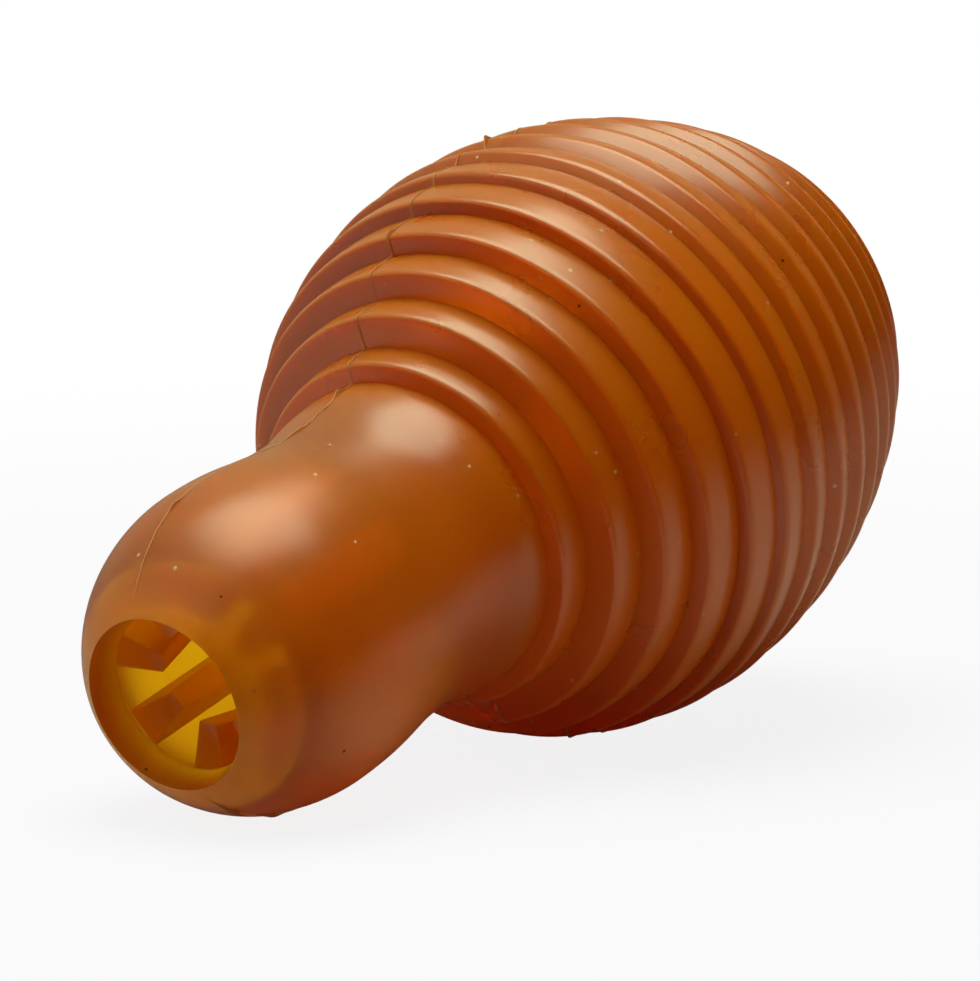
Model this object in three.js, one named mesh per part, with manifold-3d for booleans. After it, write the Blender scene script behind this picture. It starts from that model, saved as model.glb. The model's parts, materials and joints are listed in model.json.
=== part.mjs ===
// Ringed treat toy of clear amber rubber: a hollow bulb of stepped rings with a neck, a round
// head and an open mouth. It is moulded as two halves that are bonded along a parting line, and
// eight soft fins stand on the bore behind the mouth to hold the treats back.
// The toy lies on its side, on its head and its widest ring. Millimetres, +Z up, mouth towards -X.
import * as THREE from 'three';
import { mergeVertices } from 'three/addons/utils/BufferGeometryUtils.js';
import Module from 'manifold-3d';

// Head and neck, with lengths measured along the toy's axis from the mouth
const MOUTH_RADIUS = 10.05;
const HEAD_RADIUS = 18.9;
const HEAD_AT = 18;
const WAIST_RADIUS = 17.65;
const WAIST_AT = 35;
const NECK_END_RADIUS = 18.85;
const NECK_END = 46.4;
const LENGTH = 123.25;

// Bulb: an egg over the ring fronts, round towards the mouth and leaner towards the base
const BULB_RADIUS = 35.35;
const WIDEST_AT = 79;
const FIRST_RING_RADIUS = 21.15;
const FIRST_RING_AT = 46.65;
const LAST_RING_RADIUS = 17;
const BASE_RADIUS = 15.5;
const FRONT_POWER = 2;
const BACK_POWER = 1.8;

// Rings: steps of one pitch along the egg, each with its foot a set way ahead of its front edge
// and a set depth under the egg
const RING_PITCH = 5.85;
const RING_RUN = 1.75;
const RING_DEPTH = 1.2;
const RING_ROUND = 0.7;
const RING_CROWN = 1;

// Inside: tapered lip, straight bore through head and neck, chamber in the bulb, vent in the base
const LIP_RADIUS = 9.15;
const LIP_DEPTH = 4.2;
const LIP_TAPER = 2.6;
const BORE_RADIUS = 13;
const CHAMBER_WALL = 7;
const BASE_WALL = 7;
const VENT_RADIUS = 2.5;

// Fins: tall at the mouth, sloping back to the bore, and thicker towards the root
const FIN_COUNT = 8;
const FIN_TIP_THICKNESS = 2.5;
const FIN_ROOT_THICKNESS = 3.2;
const FIN_SETBACK = 0.7;
const FIN_LENGTH = 22;
const FIN_TIP_RADIUS = 5.6;
const FIN_HEEL_RADIUS = 11.4;
const FIN_ROUND = 0.9;

// Clearances, and how far the parting line lies round from the top
const SEAM_GAP = 0.3;
const FIN_ROOT_GAP = 0.5;
const SEAM_ROLL = THREE.MathUtils.degToRad(13);

// Facets round the axis, with a flat one underneath, and steps in each curve of the outline
const FACETS = 48;
const CURVE_STEPS = 3;

const RUBBER = { color: 0xa4551a, roughness: 0.4, metalness: 0 };
const FIN_RUBBER = { color: 0xb8610f, roughness: 0.45, metalness: 0 };

const BORE_START = LIP_DEPTH + LIP_TAPER;
const FIN_START = BORE_START + FIN_SETBACK;
const BULB_FRONT_REACH = eggReach(FIRST_RING_AT, FIRST_RING_RADIUS, FRONT_POWER);
const BULB_BACK_REACH = eggReach(LENGTH, LAST_RING_RADIUS, BACK_POWER);

const wasm = await Module();
wasm.setup();

// How far the egg reaches from its widest place, for it to have a set radius at a set place
function eggReach(along, radius, power) {
  const share = (1 - (radius / BULB_RADIUS) ** power) ** (1 / power);
  return Math.abs(along - WIDEST_AT) / share;
}

// Radius of the bulb over the ring fronts
function eggRadius(along) {
  const inFront = along < WIDEST_AT;
  const power = inFront ? FRONT_POWER : BACK_POWER;
  const share = Math.abs(along - WIDEST_AT) / (inFront ? BULB_FRONT_REACH : BULB_BACK_REACH);
  return BULB_RADIUS * (1 - share ** power) ** (1 / power);
}

// The egg from the first ring to the base
class EggCurve extends THREE.Curve {
  getPoint(share, target = new THREE.Vector2()) {
    const along = THREE.MathUtils.lerp(FIRST_RING_AT, LENGTH, share);
    return target.set(eggRadius(along), along);
  }
}

// Point on the line from one point towards another, a set distance from the first
function stepTowards(from, to, distance) {
  return from.clone().add(to.clone().sub(from).setLength(distance));
}

// Inner corner between the fronts of two rings
function ringFoot(last, front) {
  const along = front.clone().sub(last).normalize();
  const inwards = new THREE.Vector2(-along.y, along.x);
  return front.clone().addScaledVector(along, -RING_RUN).addScaledVector(inwards, RING_DEPTH);
}

// Foot and front edge of every ring; the last foot is the edge of the base
function ringCorners() {
  const egg = new EggCurve();
  const spread = egg.getLength();
  const fronts = [];
  for (let walked = 0; walked < spread - RING_PITCH / 3; walked += RING_PITCH) {
    fronts.push(egg.getPointAt(walked / spread));
  }
  const feet = [new THREE.Vector2(NECK_END_RADIUS, NECK_END)];
  for (let ring = 1; ring < fronts.length; ring += 1) {
    feet.push(ringFoot(fronts[ring - 1], fronts[ring]));
  }
  feet.push(new THREE.Vector2(BASE_RADIUS, LENGTH));
  return { fronts, feet };
}

function addHeadAndNeck(path) {
  const mouthAngle = -Math.acos(MOUTH_RADIUS / HEAD_RADIUS);
  const frontReach = HEAD_AT / -Math.sin(mouthAngle);
  const headEase = (WAIST_AT - HEAD_AT) / 2;
  const neckEase = (NECK_END - WAIST_AT) / 2;
  path.absellipse(0, HEAD_AT, HEAD_RADIUS, frontReach, mouthAngle, 0, false);
  path.bezierCurveTo(
    HEAD_RADIUS, HEAD_AT + headEase,
    WAIST_RADIUS, WAIST_AT - headEase,
    WAIST_RADIUS, WAIST_AT,
  );
  path.bezierCurveTo(
    WAIST_RADIUS, WAIST_AT + neckEase,
    NECK_END_RADIUS, NECK_END - neckEase,
    NECK_END_RADIUS, NECK_END,
  );
}

function addRings(path) {
  const { fronts, feet } = ringCorners();
  for (let ring = 0; ring < fronts.length; ring += 1) {
    const front = fronts[ring];
    const riserRound = Math.min(RING_ROUND, front.distanceTo(feet[ring]) / 2);
    const roundStart = stepTowards(front, feet[ring], riserRound);
    const roundEnd = stepTowards(front, feet[ring + 1], RING_CROWN);
    path.lineTo(roundStart.x, roundStart.y);
    path.quadraticCurveTo(front.x, front.y, roundEnd.x, roundEnd.y);
    path.lineTo(feet[ring + 1].x, feet[ring + 1].y);
  }
}

// From the edge of the base through the vent, up the chamber and the bore and back to the rim
function addInside(path) {
  const radius = BULB_RADIUS - CHAMBER_WALL;
  const frontReach = BULB_FRONT_REACH - CHAMBER_WALL;
  const backReach = BULB_BACK_REACH - CHAMBER_WALL;
  const floorAt = LENGTH - BASE_WALL;
  const floorAngle = Math.asin((floorAt - WIDEST_AT) / backReach);
  const boreAngle = Math.acos(BORE_RADIUS / radius);
  path.lineTo(VENT_RADIUS, LENGTH);
  path.lineTo(VENT_RADIUS, floorAt);
  path.absellipse(0, WIDEST_AT, radius, backReach, floorAngle, 0, true);
  path.absellipse(0, WIDEST_AT, radius, frontReach, 0, -boreAngle, true);
  path.lineTo(BORE_RADIUS, BORE_START);
  path.lineTo(LIP_RADIUS, LIP_DEPTH);
  path.closePath();
}

function wallOutline() {
  const path = new THREE.Path();
  addHeadAndNeck(path);
  addRings(path);
  addInside(path);
  return path.getPoints(CURVE_STEPS);
}

function toSolid(geometry) {
  const bare = geometry.clone();
  bare.deleteAttribute('normal');
  bare.deleteAttribute('uv');
  const merged = mergeVertices(bare);
  return new wasm.Manifold(new wasm.Mesh({
    numProp: 3,
    vertProperties: merged.attributes.position.array,
    triVerts: merged.index.array,
  }));
}

function toGeometry(solid) {
  const mesh = solid.getMesh();
  const geometry = new THREE.BufferGeometry();
  geometry.setAttribute('position', new THREE.BufferAttribute(mesh.vertProperties, 3));
  geometry.setIndex(new THREE.BufferAttribute(mesh.triVerts, 1));
  geometry.computeVertexNormals();
  return geometry;
}

// The wall on one side of the parting plane: side is 1 for the right half, -1 for the left
function halfShell(wall, side) {
  const width = 2 * BULB_RADIUS;
  const half = new THREE.BoxGeometry(width, 3 * LENGTH, 2 * width);
  half.translate(side * (width + SEAM_GAP) / 2, 0, 0);
  half.rotateY(-SEAM_ROLL);
  return toGeometry(wall.intersect(toSolid(half)));
}

function finGeometry() {
  const root = BORE_RADIUS - FIN_ROOT_GAP;
  const finEnd = FIN_START + FIN_LENGTH;
  const tip = new THREE.Vector2(FIN_TIP_RADIUS, FIN_START);
  const heel = new THREE.Vector2(FIN_HEEL_RADIUS, finEnd);
  const slopeStart = stepTowards(tip, heel, FIN_ROUND);
  const outline = new THREE.Shape();
  outline.moveTo(root, FIN_START);
  outline.lineTo(root, finEnd);
  outline.lineTo(heel.x, heel.y);
  outline.lineTo(slopeStart.x, slopeStart.y);
  outline.quadraticCurveTo(tip.x, tip.y, tip.x + FIN_ROUND, tip.y);
  const fin = new THREE.ExtrudeGeometry(outline, {
    depth: 1,
    bevelEnabled: false,
    curveSegments: CURVE_STEPS,
  });
  fin.translate(0, 0, -0.5);
  const places = fin.attributes.position;
  for (let index = 0; index < places.count; index += 1) {
    const share = (places.getX(index) - FIN_TIP_RADIUS) / (root - FIN_TIP_RADIUS);
    const thickness = THREE.MathUtils.lerp(FIN_TIP_THICKNESS, FIN_ROOT_THICKNESS, share);
    places.setZ(index, places.getZ(index) * thickness);
  }
  fin.computeVertexNormals();
  return fin;
}

// Slope of the axis when the toy lies on its head and its bulb, both on the flat facets underneath
function restingPitch(outline) {
  const head = outline.filter((point) => point.y < WAIST_AT);
  const bulb = outline.filter((point) => point.y > WAIST_AT);
  const slopes = head.map((from) => Math.max(
    ...bulb.map((to) => (to.x - from.x) / (to.y - from.y)),
  ));
  return Math.atan(Math.min(...slopes) * Math.cos(Math.PI / FACETS));
}

function named(name, geometry, finish) {
  const mesh = new THREE.Mesh(geometry, new THREE.MeshStandardMaterial(finish));
  mesh.name = name;
  return mesh;
}

const outline = wallOutline();
const wall = toSolid(new THREE.LatheGeometry(outline, FACETS, Math.PI / FACETS));

// The axis runs along +Y in this group, which is then laid down
const lying = new THREE.Group();
lying.add(named('right_half_shell', halfShell(wall, 1), RUBBER));
lying.add(named('left_half_shell', halfShell(wall, -1), RUBBER));

// Fins stand half a step to each side of the parting line, counted clockwise seen from the mouth
for (let count = 0; count < FIN_COUNT; count += 1) {
  const fin = named(`treat_fin_${count + 1}`, finGeometry(), FIN_RUBBER);
  const round = (count + 0.5) * 2 * Math.PI / FIN_COUNT - SEAM_ROLL;
  fin.rotation.y = round - Math.PI / 2;
  lying.add(fin);
}
lying.rotation.set(0, -restingPitch(outline), -Math.PI / 2, 'YXZ');

// The origin is under the middle of the toy, on the surface that it lies on
const toy = new THREE.Group();
toy.add(lying);
toy.updateMatrixWorld(true);
const reach = new THREE.Box3().setFromObject(lying, true);
const middle = reach.getCenter(new THREE.Vector3());
lying.position.set(-middle.x, -middle.y, -reach.min.z);

export default toy;
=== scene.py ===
# %% [markdown]
# # A ringed treat toy of clear amber rubber
#
# The toy is a hollow bulb of stepped rings with a neck, a round head and an open mouth. It is
# moulded as two bonded halves, and eight soft fins behind the mouth hold the treats back.
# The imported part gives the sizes, the places and the hinges. Here it gets its looks: rounded
# rings, the flash that the mould left, and a rubber that light goes through. Modifiers could dress
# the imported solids, but a wall that is turned anew catches the light as moulded rubber does.

import json
from itertools import accumulate
from math import acos, asin, atan2, cos, degrees, exp, pi, radians, sin, sqrt

import bmesh
import bpy
from mathutils import Matrix, Vector, noise
from mathutils.geometry import interpolate_bezier


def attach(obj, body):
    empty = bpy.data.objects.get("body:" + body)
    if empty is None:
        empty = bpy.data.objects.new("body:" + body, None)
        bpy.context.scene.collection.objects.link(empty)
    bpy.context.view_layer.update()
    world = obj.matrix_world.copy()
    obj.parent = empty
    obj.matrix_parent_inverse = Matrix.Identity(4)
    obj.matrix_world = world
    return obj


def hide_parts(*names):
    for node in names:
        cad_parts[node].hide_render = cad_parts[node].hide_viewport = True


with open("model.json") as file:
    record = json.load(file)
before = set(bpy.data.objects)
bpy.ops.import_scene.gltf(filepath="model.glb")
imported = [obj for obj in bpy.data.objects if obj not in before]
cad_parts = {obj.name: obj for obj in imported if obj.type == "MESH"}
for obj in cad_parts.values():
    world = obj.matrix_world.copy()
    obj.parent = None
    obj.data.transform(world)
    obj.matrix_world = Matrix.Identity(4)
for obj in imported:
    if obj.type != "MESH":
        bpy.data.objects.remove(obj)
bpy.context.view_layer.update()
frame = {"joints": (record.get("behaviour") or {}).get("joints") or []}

# %% [markdown]
# ## The toy's own axes
#
# Every form here is round about one axis, so it is easiest to make it standing up, in millimetres,
# with the axis along Z. The fin hinges lie round that axis and along it, so their directions and
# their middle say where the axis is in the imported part. One matrix then lays a finished mesh down.

# %% The making frame, and the matrix that lays it down
MM = 0.001
HINGE_DEPTH = 18.5

axis = Vector(frame["joints"][0]["axis"]).normalized()
hinge_places = [Vector(joint["pos_m"]) for joint in frame["joints"]]
hinge_middle = sum(hinge_places, Vector()) / len(hinge_places)
mouth = hinge_middle - axis * HINGE_DEPTH * MM
near_side = Vector((0, -1, 0))
upper_side = near_side.cross(axis)
turn = Matrix((upper_side, near_side, axis)).transposed()
lay_down = Matrix.Translation(mouth) @ turn.to_4x4() @ Matrix.Scale(MM, 4)
print("axis rises", round(degrees(asin(axis.z)), 2), "degrees from the mouth at", mouth[:])

# %% [markdown]
# ## Camera
#
# The photo was taken from far off with a long lens, so the toy shows little perspective. A camera
# could be dragged into place in the viewport, but this one is set by the angle that it looks from,
# its distance and the point that it aims at, so that each can be corrected by itself.

# %% Camera at the photo's viewing angle
PHOTO_LONG_SIDE = 981
FOCAL_PIXELS = 6000
SENSOR = 36
VIEW_AZIMUTH = radians(-54.65)
VIEW_ELEVATION = radians(8.52)
VIEW_DISTANCE = 0.6891
AIM = Vector((-0.0005, -0.0007, 0.0303))

towards_camera = Vector((
    sin(VIEW_AZIMUTH) * cos(VIEW_ELEVATION),
    -cos(VIEW_AZIMUTH) * cos(VIEW_ELEVATION),
    sin(VIEW_ELEVATION),
))
camera_data = bpy.data.cameras.new("camera")
camera_data.sensor_width = SENSOR
camera_data.lens = FOCAL_PIXELS * SENSOR / PHOTO_LONG_SIDE
camera = bpy.data.objects.new("camera", camera_data)
camera.location = AIM + towards_camera * VIEW_DISTANCE
camera.rotation_euler = (-towards_camera).to_track_quat("-Z", "Y").to_euler()
bpy.context.scene.collection.objects.link(camera)
bpy.context.scene.camera = camera
bpy.context.scene.view_settings.view_transform = "Standard"
print("lens", round(camera_data.lens, 1), "mm, camera at", [round(c, 3) for c in camera.location])

# %% [markdown]
# ## Outline of the wall
#
# The wall is one closed outline that a lathe could turn: the head, the waist of the neck, the
# stepped rings, the base, and back through the chamber, the bore and the lip. A curve object could
# hold it, but points by formula keep every ring on one egg. A point is (radius, along), and along
# runs from the mouth.

# %% Head and neck
MOUTH_RADIUS = 10.05
HEAD_RADIUS, HEAD_AT, HEAD_STEPS = 18.9, 18, 24
WAIST_RADIUS, WAIST_AT, WAIST_STEPS = 17.65, 35, 14
NECK_END_RADIUS, NECK_END, NECK_STEPS = 18.85, 46.4, 12


def flat(radius, along):
    return Vector((radius, 0, along))


def ellipse(radius, reach, middle, start, end, steps):
    angles = [start + (end - start) * step / steps for step in range(steps + 1)]
    return [flat(radius * cos(angle), middle + reach * sin(angle)) for angle in angles]


def ease(start, end, steps):
    """A line that leaves and arrives along the axis, without its first point."""
    half = Vector((0, 0, (end.z - start.z) / 2))
    return interpolate_bezier(start, start + half, end - half, end, steps + 1)[1:]


def head_and_neck():
    mouth_angle = -acos(MOUTH_RADIUS / HEAD_RADIUS)
    reach = HEAD_AT / -sin(mouth_angle)
    waist, neck_end = flat(WAIST_RADIUS, WAIST_AT), flat(NECK_END_RADIUS, NECK_END)
    head = ellipse(HEAD_RADIUS, reach, HEAD_AT, mouth_angle, 0, HEAD_STEPS)
    return head + ease(head[-1], waist, WAIST_STEPS) + ease(waist, neck_end, NECK_STEPS)


print(len(head_and_neck()), "points from the mouth to the end of the neck")

# %% [markdown]
# ## Rings
#
# The rings are stairs on an egg, one pitch apart along it, so they look even although the bulb
# climbs and falls. Where it climbs, a ring's outer face runs along the axis and its riser stands
# upright: it looks towards the mouth, mirrors the neck and stays dark. Where the bulb falls, a low
# ramp leads up to each front edge. Separate turned rings could be stacked, but one outline has no
# seams between them, and its edges can be rounded before it is spun.

# %% The egg
LENGTH = 123.25
BULB_RADIUS, WIDEST_AT = 35.35, 79
FIRST_RING_RADIUS, FIRST_RING_AT = 21.15, 46.65
LAST_RING_RADIUS = 17
FRONT_POWER, BACK_POWER = 2, 1.8


def egg_reach(along, radius, power):
    return abs(along - WIDEST_AT) / (1 - (radius / BULB_RADIUS) ** power) ** (1 / power)


FRONT_REACH = egg_reach(FIRST_RING_AT, FIRST_RING_RADIUS, FRONT_POWER)
BACK_REACH = egg_reach(LENGTH, LAST_RING_RADIUS, BACK_POWER)


def egg_point(along):
    in_front = along < WIDEST_AT
    power = FRONT_POWER if in_front else BACK_POWER
    share = abs(along - WIDEST_AT) / (FRONT_REACH if in_front else BACK_REACH)
    return flat(BULB_RADIUS * (1 - share ** power) ** (1 / power), along)


print("egg reaches", round(FRONT_REACH, 1), "mm to the front and", round(BACK_REACH, 1), "to the back")

# %% Ring fronts and feet
RING_PITCH = 5.85
LAST_GAP = RING_PITCH / 3
RING_RUN, RING_DEPTH = 1.75, 1.2
RISER_LEAN, RISER_FULL = 0.2, 1.7
TREAD_CLIMB = 0.2
BASE_RADIUS = 15.5
WALK = 0.02


def ring_fronts():
    """Walks along the egg and puts a front edge down at every pitch."""
    steps = int((LENGTH - FIRST_RING_AT) / WALK)
    walk = [egg_point(FIRST_RING_AT + step * WALK) for step in range(steps + 1)]
    lengths = list(accumulate((after - before).length for before, after in zip(walk, walk[1:])))
    fronts = [walk[0]]
    for point, walked in zip(walk[1:], lengths):
        if len(fronts) * RING_PITCH <= walked < lengths[-1] - LAST_GAP:
            fronts.append(point)
    return fronts


def outward(start, end):
    """The direction that points out of the wall, square to a line of its outline."""
    along = (end - start).normalized()
    return Vector((along.z, 0, -along.x))


def ring_foot(last, front):
    """An upright riser's foot where the ring climbs well, the foot of a ramp where it falls."""
    along = (front - last).normalized()
    ramp = front - along * RING_RUN - outward(last, front) * RING_DEPTH
    riser = front.x - last.x - TREAD_CLIMB
    upright = front - flat(riser, RISER_LEAN)
    return ramp.lerp(upright, max(0, min(1, riser / RISER_FULL)))


def ring_feet():
    fronts = ring_fronts()
    feet = [flat(NECK_END_RADIUS, NECK_END)] + [ring_foot(*pair) for pair in zip(fronts, fronts[1:])]
    return feet + [flat(BASE_RADIUS, LENGTH)]


print(len(ring_fronts()), "rings, the widest", round(2 * max(front.x for front in ring_fronts()), 1), "mm")

# %% Rounded rings
RING_ROUND, RING_CROWN, RING_STEPS = 0.6, 1.1, 6
TREAD_BULGE, TREAD_STEPS = 0.1, 5


def rounded(corner, before, after, lead, trail, steps):
    start = corner + (before - corner).normalized() * lead
    end = corner + (after - corner).normalized() * trail
    return interpolate_bezier(start, start.lerp(corner, 2 / 3), end.lerp(corner, 2 / 3), end, steps + 1)


def tread(start, end):
    """The ring's outer face, bulging a little between its rounded edge and the next foot."""
    shares = [step / TREAD_STEPS for step in range(1, TREAD_STEPS + 1)]
    bulge = outward(start, end) * TREAD_BULGE
    return [start.lerp(end, share) + bulge * 4 * share * (1 - share) for share in shares]


def rings():
    fronts, feet, points = ring_fronts(), ring_feet(), []
    for front, foot, next_foot in zip(fronts, feet, feet[1:]):
        lead = min(RING_ROUND, (front - foot).length / 2)
        points += rounded(front, foot, next_foot, lead, RING_CROWN, RING_STEPS)
        points += tread(points[-1], next_foot)
    return points


outside = head_and_neck() + rings()
print(len(outside), "points from the mouth to the base")

# %% [markdown]
# ## Inside of the wall
#
# The inside follows the bulb at an even wall, opens into a straight bore and narrows at the lip. A
# Solidify modifier would give an even wall too, but it would copy every ring to the inside, so
# the chamber gets an outline of its own.

# %% Chamber, bore and lip
LIP_RADIUS, LIP_DEPTH, LIP_TAPER = 9.15, 4.2, 2.6
BORE_RADIUS = 13
CHAMBER_WALL, BASE_WALL = 7, 7
CHAMBER_RADIUS = BULB_RADIUS - CHAMBER_WALL
CHAMBER_FRONT, CHAMBER_BACK = FRONT_REACH - CHAMBER_WALL, BACK_REACH - CHAMBER_WALL
CHAMBER_STEPS = 14
VENT_RADIUS = 2.5
BORE_ROUND, LIP_ROUND, LIP_STEPS = 1.2, 0.9, 5


def inside():
    floor_at = LENGTH - BASE_WALL
    floor_angle = asin((floor_at - WIDEST_AT) / CHAMBER_BACK)
    bore_angle = -acos(BORE_RADIUS / CHAMBER_RADIUS)
    lip, bore = flat(LIP_RADIUS, LIP_DEPTH), flat(BORE_RADIUS, LIP_DEPTH + LIP_TAPER)
    chamber = ellipse(CHAMBER_RADIUS, CHAMBER_BACK, WIDEST_AT, floor_angle, 0, CHAMBER_STEPS)
    chamber += ellipse(CHAMBER_RADIUS, CHAMBER_FRONT, WIDEST_AT, 0, bore_angle, CHAMBER_STEPS)[1:]
    points = [flat(VENT_RADIUS, LENGTH), flat(VENT_RADIUS, floor_at)] + chamber
    points += rounded(bore, chamber[-1], lip, BORE_ROUND, BORE_ROUND, LIP_STEPS)
    return points + rounded(lip, bore, outside[0], LIP_ROUND, LIP_ROUND, LIP_STEPS)


print(len(inside()), "points from the base back to the lip")

# %% [markdown]
# ## Shell
#
# The shell is the whole wall of both halves. A Screw modifier could turn the outline, but the halves
# of the mould never met exactly: Spin can turn it in small steps near the parting line and in
# larger ones elsewhere, and the left half is then shifted by a fraction of a millimetre.

# %% Helpers for making pieces
SHARP_ANGLE = radians(32)

finishes = {
    name: bpy.data.materials.new("moulded_" + name) for name in ("amber_rubber", "fin_rubber", "flash")
}


def add_chain(bm, points, closed=False):
    verts = [bm.verts.new(point) for point in points]
    pairs = list(zip(verts, verts[1:])) + ([(verts[-1], verts[0])] if closed else [])
    return verts + [bm.edges.new(pair) for pair in pairs]


def thicken(bm, faces, offset):
    """Extrudes faces into a slab whose other side lies at the offset."""
    sides = bmesh.ops.extrude_face_region(bm, geom=faces)
    moved = [item for item in sides["geom"] if isinstance(item, bmesh.types.BMVert)]
    bmesh.ops.translate(bm, verts=moved, vec=offset)


def finish_piece(bm, name, body, slot, *replaced, finish=None):
    """Lays the mesh down, smooths it up to its sharp edges and gives it its body and finish."""
    bmesh.ops.transform(bm, matrix=lay_down, verts=bm.verts)
    bmesh.ops.recalc_face_normals(bm, faces=bm.faces)
    for face in bm.faces:
        face.smooth = True
    for edge in bm.edges:
        edge.smooth = edge.calc_face_angle(0) < SHARP_ANGLE
    mesh = bpy.data.meshes.new(name)
    bm.to_mesh(mesh)
    bm.free()
    mesh.materials.append(finishes[finish or slot])
    piece = bpy.data.objects.new(name, mesh)
    bpy.context.scene.collection.objects.link(piece)
    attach(piece, body)
    if replaced:
        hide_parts(*replaced)
    print(name, "rides on", body, "with", len(mesh.polygons), "faces")


print(len(finishes), "finishes to fill in later")

# %% Spin the wall, fine at the parting line
SEAM_ANGLE = radians(-13)
HALF_TURN = [(0.3, 2), (0.7, 2), (2, 2), (174, 87), (2, 2), (0.7, 2), (0.3, 2)]
MERGE = 0.001


def turned_wall():
    bm = bmesh.new()
    last = add_chain(bm, outside + inside(), closed=True)
    bmesh.ops.rotate(bm, verts=bm.verts, matrix=Matrix.Rotation(SEAM_ANGLE, 3, "Z"))
    for angle, steps in HALF_TURN * 2:
        spun = bmesh.ops.spin(
            bm, geom=last, axis=(0, 0, 1), cent=(0, 0, 0), angle=radians(angle), steps=steps,
        )
        last = spun["geom_last"]
    bmesh.ops.remove_doubles(bm, verts=bm.verts, dist=MERGE)
    return bm


shell_mesh = turned_wall()
print("turned wall has", len(shell_mesh.faces), "faces")

# %% [markdown]
# The rubber will need to know where it is: on the inside, or on a riser between two rings. Painted
# masks would do, but the outline already knows, so each vertex gets two numbers, which the
# material reads as attributes. The same loop adds the halves' mismatch and a faint waviness.

# %% Mark the inside and the risers
MOUTH_MARGIN, INSIDE_MARGIN = 0.01, 1
RISER_MIDDLE, RISER_REACH = 0.3, 1.4

riser_middles = [
    foot.lerp(front, RISER_MIDDLE) for front, foot in zip(ring_fronts()[1:], ring_feet()[1:])
]


def chamber_radius(along):
    share = abs(along - WIDEST_AT) / (CHAMBER_FRONT if along < WIDEST_AT else CHAMBER_BACK)
    return CHAMBER_RADIUS * sqrt(max(0, 1 - share ** 2))


def on_outside(co):
    radius = sqrt(co.x ** 2 + co.y ** 2)
    if co.z < LIP_DEPTH + LIP_TAPER:
        return radius > MOUTH_RADIUS - MOUTH_MARGIN
    return radius > max(BORE_RADIUS, chamber_radius(co.z)) + INSIDE_MARGIN


def riser_share(co):
    """1 on the step between two rings, 0 on their outer faces."""
    point = flat(sqrt(co.x ** 2 + co.y ** 2), co.z)
    nearest = min((point - middle).length for middle in riser_middles)
    return max(0, 1 - nearest / RISER_REACH)


inner = shell_mesh.verts.layers.float.new("inner")
# The riser share only darkens the rubber's colour: painted shade between the rings.
riser = shell_mesh.verts.layers.float.new("riser")
for vert in shell_mesh.verts:
    vert[inner] = 0 if on_outside(vert.co) else 1
    vert[riser] = riser_share(vert.co)
print(sum(vert[inner] == 0 for vert in shell_mesh.verts), "vertices lie on the outside")

# %% Shift the left half and make the wall a little wavy
MISMATCH_ALONG, MISMATCH_UP, MISMATCH_FADE = 0.6, 0.2, 3
WAVE, WAVE_LENGTH = 0.12, 14
SEAM_MARGIN = 0.001

for vert in shell_mesh.verts:
    if vert[inner]:
        continue
    round_from_seam = (atan2(vert.co.y, vert.co.x) - SEAM_ANGLE) % (2 * pi)
    if pi + SEAM_MARGIN < round_from_seam < 2 * pi - SEAM_MARGIN:
        fade = max(0, min(1, vert.co.z / MISMATCH_FADE, (LENGTH - vert.co.z) / RING_PITCH))
        vert.co.x -= MISMATCH_UP * fade
        vert.co.z += MISMATCH_ALONG * fade if vert.co.z > NECK_END else 0
    outwards = Vector((vert.co.x, vert.co.y, 0)).normalized()
    vert.co += outwards * noise.noise(vert.co / WAVE_LENGTH) * WAVE

finish_piece(shell_mesh, "moulded_shell", "shell", "amber_rubber", "right_half_shell", "left_half_shell")

# %% [markdown]
# ## Flash
#
# Where the halves of a mould meet, a little rubber runs into the gap and stays as a thin ragged
# edge. A curve with a bevel could draw it. Here the outline itself is copied, joined to a second
# line that stands off by a ragged height, and extruded sideways, so it follows every ring.

# %% Height of the flash
FLASH_LOW, FLASH_RAGGED, FLASH_ON_HEAD, FLASH_GRAIN = 0.06, 0.3, 0.1, 0.9
TOP_TABS = ((12.5, 0.25, 1), (35, 0.2, 1.5), (44, 0.4, 0.8), (61, 0.2, 1), (83.3, 0.5, 0.6))
BOTTOM_TABS = ((4.5, 0.5, 1.6), (10, 0.4, 2), (60.5, 0.3, 0.5))


def flash_height(along, seed, tabs):
    """Ragged on the bulb, low on the head, with a few tabs given by their place, height and width."""
    ragged = FLASH_LOW + FLASH_RAGGED * max(0, noise.noise((along * FLASH_GRAIN, seed, 0)))
    ragged *= 1 if along > WAIST_AT else FLASH_ON_HEAD
    return ragged + sum(high * exp(-((along - at) / wide) ** 2) for at, high, wide in tabs)


print(len(TOP_TABS), "tabs above and", len(BOTTOM_TABS), "below")

# %% Flash along both parting lines
FLASH_STEP, FLASH_SUNK, FLASH_THICKNESS = 0.4, 0.3, 0.16
FLASH_WANDER, WANDER_GRAIN, WANDER_ROW = 0.35, 0.4, 5
FLASH_REACH = 8


def resampled(points, step):
    """The same line with a point at least at every step."""
    line = [points[0]]
    for before, after in zip(points, points[1:]):
        count = max(1, round((after - before).length / step))
        line += [before.lerp(after, share / count) for share in range(1, count + 1)]
    return line


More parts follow.
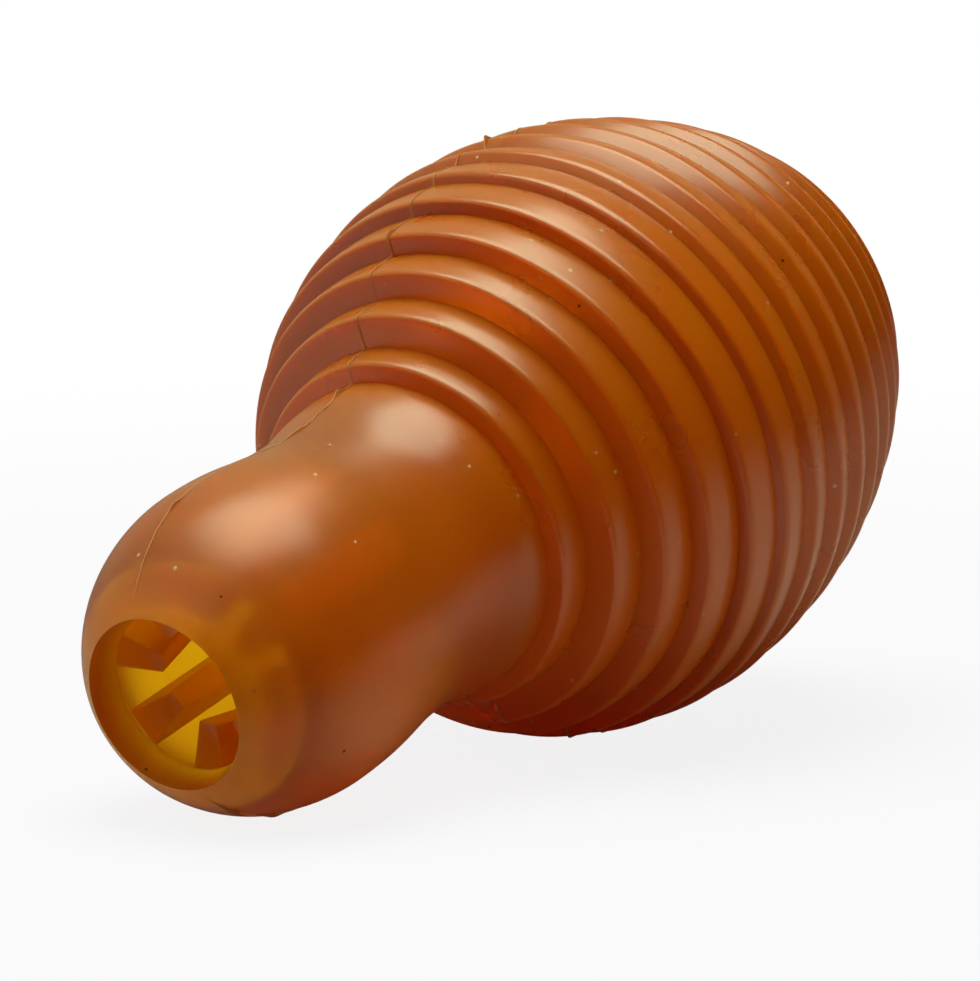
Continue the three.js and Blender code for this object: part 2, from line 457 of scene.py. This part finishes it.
def flash_mesh(angle, seed, tabs):
    line = resampled(outside, FLASH_STEP)
    feet, tops = [], []
    for point, behind, ahead in zip(line[FLASH_REACH:], line, line[2 * FLASH_REACH:]):
        outwards = outward(behind, ahead)
        wander = FLASH_WANDER * noise.noise((point.z * WANDER_GRAIN, seed, WANDER_ROW))
        aside = Vector((0, wander, 0))
        feet.append(point - outwards * FLASH_SUNK + aside)
        tops.append(point + outwards * flash_height(point.z, seed, tabs) + aside)
    bm = bmesh.new()
    add_chain(bm, feet)
    add_chain(bm, tops)
    bmesh.ops.bridge_loops(bm, edges=bm.edges[:])
    thicken(bm, bm.faces[:], (0, FLASH_THICKNESS, 0))
    bmesh.ops.rotate(bm, verts=bm.verts, matrix=Matrix.Rotation(angle, 3, "Z"))
    return bm


upper_flash = flash_mesh(SEAM_ANGLE, 1, TOP_TABS)
lower_flash = flash_mesh(SEAM_ANGLE + pi, 2, BOTTOM_TABS)
finish_piece(upper_flash, "upper_flash", "shell", "amber_rubber", finish="flash")
finish_piece(lower_flash, "lower_flash", "shell", "amber_rubber", finish="flash")

# %% [markdown]
# ## Fins
#
# The fins are soft vanes on the bore that let a treat past when they bend. A fin could be a tapered
# cube, but its free edge slants, so its side view is drawn as one flat face, extruded and
# bevelled. Cuts across it then let the blade thicken towards its root, as it must to come out
# of the mould.

# %% Shape of a fin
FIN_GAP, FIN_LENGTH = 0.7, 22
FIN_START = LIP_DEPTH + LIP_TAPER + FIN_GAP
FIN_END = FIN_START + FIN_LENGTH
FIN_SEAT = 0.15
FIN_ROOT = BORE_RADIUS - FIN_SEAT
FIN_TIP_RADIUS, FIN_HEEL_RADIUS = 5.6, 11.4
FIN_TIP_THICKNESS, FIN_ROOT_THICKNESS = 2.2, 4.7
FIN_FILLET, FIN_FILLET_REACH = 0.3, 0.6
FIN_EDGE, FIN_EDGE_STEPS = 0.3, 3
FIN_CUTS = [8, 10, 11.4, 12, 12.4]


def fin_thickness(radius):
    share = (radius - FIN_TIP_RADIUS) / (FIN_ROOT - FIN_TIP_RADIUS)
    fillet = FIN_FILLET * exp((radius - FIN_ROOT) / FIN_FILLET_REACH)
    return FIN_TIP_THICKNESS + (FIN_ROOT_THICKNESS - FIN_TIP_THICKNESS) * share + fillet


def fin_mesh(angle):
    bm = bmesh.new()
    tip, heel = flat(FIN_TIP_RADIUS, FIN_START), flat(FIN_HEEL_RADIUS, FIN_END)
    corners = [flat(FIN_ROOT, FIN_END), flat(FIN_ROOT, FIN_START), tip, heel]
    half = Vector((0, FIN_TIP_THICKNESS / 2, 0))
    face = bm.faces.new([bm.verts.new(corner - half) for corner in corners])
    thicken(bm, [face], half * 2)
    bmesh.ops.bevel(
        bm, geom=bm.edges, offset=FIN_EDGE, affect="EDGES", segments=FIN_EDGE_STEPS, profile=0.5,
        material=-1,
    )
    for cut in FIN_CUTS:
        whole = bm.verts[:] + bm.edges[:] + bm.faces[:]
        bmesh.ops.bisect_plane(bm, geom=whole, plane_co=(cut, 0, 0), plane_no=(1, 0, 0))
    for vert in bm.verts:
        vert.co.y *= fin_thickness(vert.co.x) / FIN_TIP_THICKNESS
    bmesh.ops.rotate(bm, verts=bm.verts, matrix=Matrix.Rotation(angle, 3, "Z"))
    return bm


print("a fin is", round(fin_thickness(FIN_ROOT), 1), "mm thick at its root")

# %% One fin at each hinge
for hinge in sorted(frame["joints"], key=lambda joint: joint["child"]):
    name = hinge["child"]
    place = lay_down.inverted() @ Vector(hinge["pos_m"])
    finish_piece(fin_mesh(atan2(place.y, place.x)), name + "_moulded", name, "fin_rubber", name)

# %% [markdown]
# ## Shader maths
#
# A material is a tree of nodes, and long sums of Math nodes are hard to read. They could be wired by
# hand in the editor. A small class round an output socket lets plain Python operators add the
# nodes instead, so a mask reads like a formula.

# %% A wire between nodes, with operators that add Math nodes
class Wire:
    """An output socket. A formula with wires adds Math nodes; add() adds any other node."""

    def __init__(self, tree, socket=None):
        self.tree, self.socket = tree, socket

    def add(self, kind, settings, sockets, output=0):
        node = self.tree.nodes.new("ShaderNode" + kind)
        for name, value in settings.items():
            setattr(node, name, value)
        for name, value in sockets.items():
            if isinstance(value, Wire):
                self.tree.links.new(value.socket, node.inputs[name])
            else:
                node.inputs[name].default_value = value
        return Wire(self.tree, node.outputs[output] if node.outputs else None)

    def math(self, operation, *values):
        return self.add("Math", {"operation": operation}, dict(enumerate(values)))

    def __add__(self, other):
        return self.math("ADD", self, other)

    def __sub__(self, other):
        return self.math("SUBTRACT", self, other)

    def __rsub__(self, other):
        return self.math("SUBTRACT", other, self)

    def __mul__(self, other):
        return self.math("MULTIPLY", self, other)

    __radd__ = __add__
    __rmul__ = __mul__

    def rise(self, start, end):
        """Goes smoothly from 0 at start to 1 at end."""
        return self.add(
            "MapRange", {"interpolation_type": "SMOOTHSTEP"},
            {"Value": self, "From Min": start, "From Max": end},
        )

    def blend(self, low, high):
        """Mixes two colours: low where this is 0, high where it is 1."""
        settings = {"data_type": "RGBA"}
        return self.add("Mix", settings, {0: self, 6: low, 7: high}, output=2)

    def between(self, low, high):
        """Mixes two numbers: low where this is 0, high where it is 1."""
        return self * (high - low) + low


def node_tree(owner):
    """Empties the node tree of a material or a world and gives a wire to add its nodes with."""
    owner.use_nodes = True
    owner.node_tree.nodes.clear()
    return Wire(owner.node_tree)


print("wires add Math nodes for + - *, and rise and blend the rest")

# %% [markdown]
# ## Rubber
#
# Light goes into the rubber, is scattered and coloured, and comes out somewhere else. One
# Principled shader could be only hazy or only clear all over. Here two of them share the work: a
# hazy one with subsurface scattering and a clear one that refracts, with absorption for depth. A
# mask mixes them, because the thick bulb looks hazy while the head and the bore let light through.

# %% The two shaders of the rubber
IOR, GLOSS_LEVEL = 1.5, 0.95
SCATTER = (0.004, 0.0018, 0.0004)
DEPTH_COLOUR, DEPTH_DENSITY = (0.99, 0.865, 0, 1), 680


def rubber(shader, colour, tint, haze, roughness):
    shared = {"Roughness": roughness, "IOR": IOR, "Specular IOR Level": GLOSS_LEVEL}
    hazy = shader.add("BsdfPrincipled", {}, {
        **shared, "Base Color": colour,
        "Subsurface Weight": 1, "Subsurface Radius": SCATTER, "Subsurface Scale": 1,
    })
    clear = shader.add("BsdfPrincipled", {}, {
        **shared, "Base Color": tint, "Transmission Weight": 1,
    })
    surface = shader.add("MixShader", {}, {0: haze, 1: clear, 2: hazy})
    depth = shader.add("VolumeAbsorption", {}, {"Color": DEPTH_COLOUR, "Density": DEPTH_DENSITY})
    shader.add("OutputMaterial", {}, {"Surface": surface, "Volume": depth})


print("light is scattered over up to", max(SCATTER) / MM, "mm")

# %% [markdown]
# The wall's colour and gloss change from place to place: the head is clearer and softer in gloss than
# the bulb, and dust and dark specks lie in the rubber. The risers get a darker colour, which is painted
# shade between the rings, and the lip a pale yellow, which is a painted glow of light shining through it.
# All of it could be painted on an image. Masks along the toy's axis, from the vertex attributes and
# from Voronoi cells, stay sharp at any size.

# %% Masks on the wall
BULB_FROM, BULB_FULL = 28, 48
LIP_FADE = 1
DUST_SPOTS = {"density": 0.4, "size": 0.13, "rare": 0.75}
SPECK_SPOTS = {"density": 0.25, "size": 0.07, "rare": 0.85}
SPOT_EDGE = 0.001
PATCHES = {"Scale": 0.12, "Detail": 2}


def toy_place(shader):
    """The place in the toy's own frame, in millimetres."""
    at = shader.add("TexCoord", {}, {}, output="Object")
    return shader.add(
        "Mapping", {"vector_type": "TEXTURE"},
        {"Vector": at, "Location": mouth, "Rotation": turn.to_euler(), "Scale": (MM, MM, MM)},
    )


def spots(shader, at, density, size, rare):
    """Small round spots: the middles of a few Voronoi cells, fewer as rare nears 1."""
    cells = {"Vector": at, "Scale": density}
    middle = shader.add("TexVoronoi", {}, cells, output="Distance")
    chance = shader.add("SeparateColor", {}, {0: shader.add("TexVoronoi", {}, cells, output="Color")})
    return (1 - middle.rise(size / 2, size)) * chance.rise(rare, rare + SPOT_EDGE)


shader = node_tree(finishes["amber_rubber"])
at = toy_place(shader)
along = shader.add("SeparateXYZ", {}, {0: at}, output="Z")
bore = shader.add("Attribute", {"attribute_name": "inner"}, {}, output="Fac")
riser = shader.add("Attribute", {"attribute_name": "riser"}, {}, output="Fac")
bulb = along.rise(BULB_FROM, BULB_FULL)
lip = bore * (1 - along.rise(LIP_DEPTH - LIP_FADE, LIP_DEPTH + LIP_TAPER))
dust = spots(shader, at, **DUST_SPOTS) * (1 - bore)
specks = spots(shader, at, **SPECK_SPOTS)
patches = shader.add("TexNoise", {}, {"Vector": at, **PATCHES})
print(len(shader.tree.nodes), "nodes make the masks")

# %% Amber rubber of the wall
BULB_AMBER, HEAD_AMBER = (0.74, 0.22, 0.001, 1), (0.74, 0.25, 0.001, 1)
# Painted shade: the risers' colour is darker than the bulb's, for the shade between the rings.
RISER_PAINTED_SHADE, LIP_PAINTED_GLOW = (0.55, 0.15, 0.0006, 1), (1, 0.7, 0.01, 1)
DUST, SPECK = (0.85, 0.6, 0.36, 1), (0.03, 0.008, 0.002, 1)
CLEAR_HEAD, CLEAR_BULB = (1, 0.97, 0.6, 1), (1, 0.55, 0.3, 1)
HAZE_HEAD, HAZE_BULB, HAZE_LIP = 0.25, 0.6, 0.75
ROUGH_HEAD, ROUGH_BULB, ROUGH_INSIDE, ROUGH_PATCHES = 0.35, 0.29, 0.38, 0.12

# The risers are darkened here: painted shade between the rings.
colour = riser.blend(bulb.blend(HEAD_AMBER, BULB_AMBER), RISER_PAINTED_SHADE)
# The lip is made pale yellow here: a painted glow of light shining through its thin rubber.
colour = specks.blend(dust.blend(lip.blend(colour, LIP_PAINTED_GLOW), DUST), SPECK)
haze = bulb.between(HAZE_HEAD, HAZE_BULB) * (1 - bore) + lip * HAZE_LIP
haze = shader.math("MAXIMUM", haze, shader.math("MAXIMUM", dust, specks))
roughness = bore * ROUGH_INSIDE + (1 - bore) * bulb.between(ROUGH_HEAD, ROUGH_BULB)
roughness = roughness + (patches - 0.5) * ROUGH_PATCHES
rubber(shader, colour, bulb.blend(CLEAR_HEAD, CLEAR_BULB), haze, roughness)
print(len(shader.tree.nodes), "nodes make the wall's rubber")

# %% [markdown]
# The fins are thin, so they are clearer than the bulb and look golden. The flash is so thin that it
# has no depth of its own. It could share the wall's rubber, but a plain pale surface shows its
# edge against the wall, as the photo does.

# %% Fins and flash
FIN_AMBER, HAZE_FIN, ROUGH_FIN = (1, 0.33, 0.008, 1), 0.45, 0.35
FLASH = {"Base Color": (0.72, 0.3, 0.1, 1), "Roughness": 0.35, "Specular IOR Level": 0.6}

rubber(node_tree(finishes["fin_rubber"]), FIN_AMBER, CLEAR_HEAD, HAZE_FIN, ROUGH_FIN)
shader = node_tree(finishes["flash"])
shader.add("OutputMaterial", {}, {"Surface": shader.add("BsdfPrincipled", {}, FLASH)})
print("finishes:", *(finish.name for finish in finishes.values()))

# %% [markdown]
# ## Floor
#
# The toy lies on white paper that runs on to the horizon. Lamps strong enough to make it white would
# also flood the rubber. So the camera sees the paper plain white, with a share of the toy's
# shadow left on it, while the light that comes back up from it is that of a greyer sheet. Light
# Path tells these rays apart. In the rubber's gloss the sheet shows warm and ends towards the camera,
# with a painted pool of light under the head and painted shade under the neck and the bulb.

# %% Sheet of paper
FLOOR_HALF = 4

floor_mesh = bmesh.new()
bmesh.ops.create_grid(floor_mesh, x_segments=1, y_segments=1, size=FLOOR_HALF)
mesh = bpy.data.meshes.new("floor")
floor_mesh.to_mesh(mesh)
floor_mesh.free()
floor = bpy.data.objects.new("floor", mesh)
white = bpy.data.materials.new("white_floor")
mesh.materials.append(white)
bpy.context.scene.collection.objects.link(floor)
print("floor is", 2 * FLOOR_HALF, "m wide")

# %% What each kind of ray sees of the white
WHITE, WARM = (1, 1, 1, 1), (0.94, 0.9, 0.6, 1)


def seen_directly(shader, through, gloss):
    """The share of plain white, 1 for the camera and 0 for falling light, and its tone."""
    from_camera, through_rubber, in_gloss = (
        shader.add("LightPath", {}, {}, output=name)
        for name in ("Is Camera Ray", "Is Transmission Ray", "Is Glossy Ray")
    )
    seen = shader.math("MAXIMUM", from_camera, through_rubber * through)
    seen = shader.math("MAXIMUM", seen, in_gloss * gloss)
    return seen, in_gloss.blend(WHITE, WARM)


print("in a gloss, white is", WARM[:3])

# %% White paper
PAPER = (0.75, 0.7, 0.97, 1)
SHEET_LIT, SHEET_DARK = (0.45, 0.45, 0.45, 1), (0.03, 0.03, 0.03, 1)
SHEET_FULL, SHEET_END = 0.045, 0.08
UNDER_TOY, CLEAR_OF_TOY, THROUGH_UNDER = 0.02, 0.07, 0.7
SHADE_X, SHADE_Y = (-0.06, -0.04), (-0.03, -0.005)
GLOSS_LIT_UNDER_HEAD, GLOSS_SHADED_UNDER_BULB, GLOSS_X = 0.28, 0.03, (-0.035, 0)
SHADOW_SHARE, SHADOW_END, WHITE_START = 0.14, 0.12, 0.35

shader = node_tree(white)
place = shader.add("TexCoord", {}, {}, output="Object")
x, y = (shader.add("SeparateXYZ", {}, {0: place}, output=side) for side in "XY")
away = shader.add("VectorMath", {"operation": "LENGTH"}, {0: place}, output="Value")
forward = shader.add(
    "VectorMath", {"operation": "DOT_PRODUCT"}, {0: place, 1: towards_camera}, output="Value",
)
sheet = 1 - forward.rise(SHEET_FULL, SHEET_END)
shaded = x.rise(*SHADE_X) * y.rise(*SHADE_Y)
# Painted light and shade on the paper, seen only in the rubber's gloss: more white under the head, less
# under the bulb, and none in the shaded patch under the neck.
gloss = sheet * (1 - shaded) * x.rise(*GLOSS_X).between(GLOSS_LIT_UNDER_HEAD, GLOSS_SHADED_UNDER_BULB)
through = away.rise(UNDER_TOY, CLEAR_OF_TOY).between(THROUGH_UNDER, 1)
seen, tone = seen_directly(shader, through, gloss)
kept_shadow = SHADOW_SHARE * (1 - away.rise(SHADOW_END, WHITE_START))
lit = shader.add("BsdfDiffuse", {}, {"Color": seen.blend(sheet.blend(SHEET_DARK, SHEET_LIT), PAPER)})
plain = shader.add("Emission", {}, {"Color": tone, "Strength": 1})
paper = shader.add("MixShader", {}, {0: seen * (1 - kept_shadow), 1: lit, 2: plain})
shader.add("OutputMaterial", {}, {"Surface": paper})
print(len(shader.tree.nodes), "nodes make the paper")

# %% [markdown]
# ## Light
#
# The highlights along the top of the head, the neck and the rings are one large softbox above, and
# the sheen on the left of the head is a dimmer panel. A sky could light the toy all round, but it
# would wash out the rings. The side that faces the camera needs some light without a highlight of
# its own, so the fill isn't seen in gloss or through the rubber.

# %% Softboxes
LAMP_COLOUR = (0.94, 1, 0.72)
LAMP_AIM = Vector((0, 0, 0.035))
LAMP_DISTANCE = 0.6


def softbox(name, direction, width, height, radiance, in_gloss=True):
    """An area lamp aimed at the toy. Its power is what gives the panel this radiance."""
    lamp_data = bpy.data.lights.new(name, "AREA")
    lamp_data.shape = "RECTANGLE"
    lamp_data.size, lamp_data.size_y = width, height
    lamp_data.energy = radiance * pi * width * height
    lamp_data.color = LAMP_COLOUR
    lamp = bpy.data.objects.new(name, lamp_data)
    lamp.location = LAMP_AIM + direction.normalized() * LAMP_DISTANCE
    lamp.rotation_euler = (-direction).to_track_quat("-Z", "Y").to_euler()
    lamp.visible_glossy = lamp.visible_transmission = in_gloss
    bpy.context.scene.collection.objects.link(lamp)
    print(name, "has", round(lamp_data.energy, 2), "watts")


softbox("overhead_softbox", Vector((0.032, 0.059, 0.996)), width=0.5, height=0.5, radiance=5)
softbox("left_panel", Vector((-0.765, 0.228, 0.602)), width=0.61, height=0.255, radiance=0.62)
softbox("side_fill", Vector((0.2, -0.95, 0.25)), width=0.6, height=0.6, radiance=0.45, in_gloss=False)

# %% [markdown]
# The far end of the room glows a little and puts a soft rim on the toy's far edges. Another lamp could
# do it, but it would draw an edge in the gloss. The world fades evenly. The camera sees it white,
# as it sees the paper, so that the two meet without a horizon.

# %% World, white to the camera and a glow from behind
GLOW_DIRECTION = (0.255, 0.951, 0.174)
GLOW_FULL, GLOW = 0.9, 0.5

world = bpy.data.worlds.new("studio")
bpy.context.scene.world = world
shader = node_tree(world)
direction = shader.add("TexCoord", {}, {}, output="Generated")
far = shader.add(
    "VectorMath", {"operation": "DOT_PRODUCT"}, {0: direction, 1: GLOW_DIRECTION}, output="Value",
)
glow = far.rise(0, GLOW_FULL) * GLOW
seen, tone = seen_directly(shader, 1, glow)
sky = shader.add("Background", {}, {"Color": tone, "Strength": shader.math("MAXIMUM", seen, glow)})
shader.add("OutputWorld", {}, {"Surface": sky})
print("the room glows with up to", GLOW)
